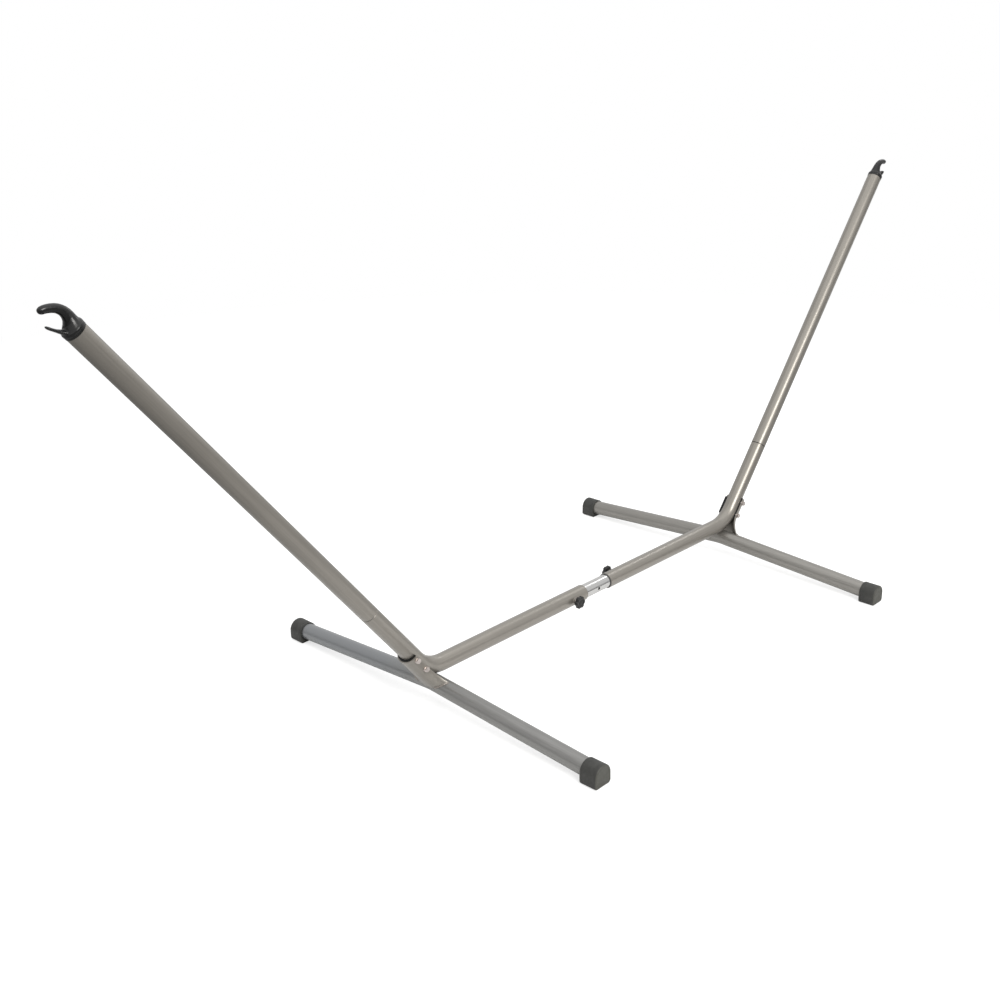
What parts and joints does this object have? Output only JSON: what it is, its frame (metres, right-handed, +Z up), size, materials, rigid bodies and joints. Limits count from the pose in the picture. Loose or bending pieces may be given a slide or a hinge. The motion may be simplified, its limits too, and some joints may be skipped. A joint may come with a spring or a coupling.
{
  "type": "hammock stand",
  "caption": "Free-standing steel tube hammock stand: roof-shaped crossbars, rising arms with hooks and a telescopic beam with lock screws.",
  "frame": {"origin": "on the floor under the middle of the telescopic beam", "axes": "+X along the beam to the right-hand arm, +Y across it to the back, +Z up"},
  "size_m": [3.2148, 1.178, 1.234],
  "materials": {
    "coated_steel": "satin",
    "chrome_tube": "polished",
    "zinc": "satin",
    "foot_plastic": "matte",
    "liner_plastic": "matte",
    "black_plastic": "matte",
    "knob_plastic": "matte",
    "hook_plastic": "gloss"
  },
  "bodies": {
    "left_half": {"crossbar_left": "coated_steel", "foot_cap_back_left": "foot_plastic", "foot_cap_front_left": "foot_plastic", "saddle_left": "coated_steel", "saddle_liner_left": "liner_plastic", "clamp_bolts_left": "zinc", "clamp_plate_left": "black_plastic", "shaped_washers_left": "zinc", "clamp_nuts_left": "zinc", "elbow_tube_left": "coated_steel", "extension_bush_left": "black_plastic", "weld_boss_left": "coated_steel"},
    "left_arm": {"upper_arm_left": "coated_steel", "hook_ring_left": "black_plastic", "hook_left": "hook_plastic", "hook_screw_left": "zinc"},
    "extension": {"extension_tube": "chrome_tube", "extension_glide_left": "black_plastic", "extension_glide_right": "black_plastic"},
    "right_half": {"crossbar_right": "coated_steel", "foot_cap_back_right": "foot_plastic", "foot_cap_front_right": "foot_plastic", "saddle_right": "coated_steel", "saddle_liner_right": "liner_plastic", "clamp_bolts_right": "zinc", "clamp_plate_right": "black_plastic", "shaped_washers_right": "zinc", "clamp_nuts_right": "zinc", "elbow_tube_right": "coated_steel", "extension_bush_right": "black_plastic", "weld_boss_right": "coated_steel"},
    "right_arm": {"upper_arm_right": "coated_steel", "hook_ring_right": "black_plastic", "hook_right": "hook_plastic", "hook_screw_right": "zinc"},
    "left_lock_carrier": {"lock_washer_left": "zinc"},
    "left_lock_screw": {"lock_stud_left": "zinc", "lock_knob_left": "knob_plastic"},
    "right_lock_carrier": {"lock_washer_right": "zinc"},
    "right_lock_screw": {"lock_stud_right": "zinc", "lock_knob_right": "knob_plastic"}
  },
  "joints": [
    {"name": "left_arm_lift", "type": "slide", "parent": "left_half", "child": "left_arm", "axis": [-0.6225, 0, 0.7826], "range_m": [0, 0.06]},
    {"name": "right_arm_lift", "type": "slide", "parent": "right_half", "child": "right_arm", "axis": [0.6225, 0, 0.7826], "range_m": [0, 0.06]},
    {"name": "left_extension_slide", "type": "slide", "parent": "left_half", "child": "extension", "axis": [1, 0, 0], "range_m": [-0.049, 0.17]},
    {"name": "right_extension_slide", "type": "slide", "parent": "extension", "child": "right_half", "axis": [1, 0, 0], "range_m": [-0.049, 0.17]},
    {"name": "left_lock_travel", "type": "slide", "parent": "left_half", "child": "left_lock_carrier", "axis": [0, -1, 0], "range_m": [0, 0.0044]},
    {"name": "left_lock_turn", "type": "hinge", "parent": "left_lock_carrier", "child": "left_lock_screw", "pos_m": [-0.112, -0.04, 0.11022], "axis": [0, -1, 0], "range_deg": [0, 1260]},
    {"name": "right_lock_travel", "type": "slide", "parent": "right_half", "child": "right_lock_carrier", "axis": [0, 1, 0], "range_m": [0, 0.0044]},
    {"name": "right_lock_turn", "type": "hinge", "parent": "right_lock_carrier", "child": "right_lock_screw", "pos_m": [0.112, 0.04, 0.11022], "axis": [0, 1, 0], "range_deg": [0, 1260]}
  ],
  "couplings": [
    {"joint": "left_lock_travel", "follows": "left_lock_turn", "m_per_rad": 0.00019894},
    {"joint": "right_lock_travel", "follows": "right_lock_turn", "m_per_rad": 0.00019894}
  ]
}
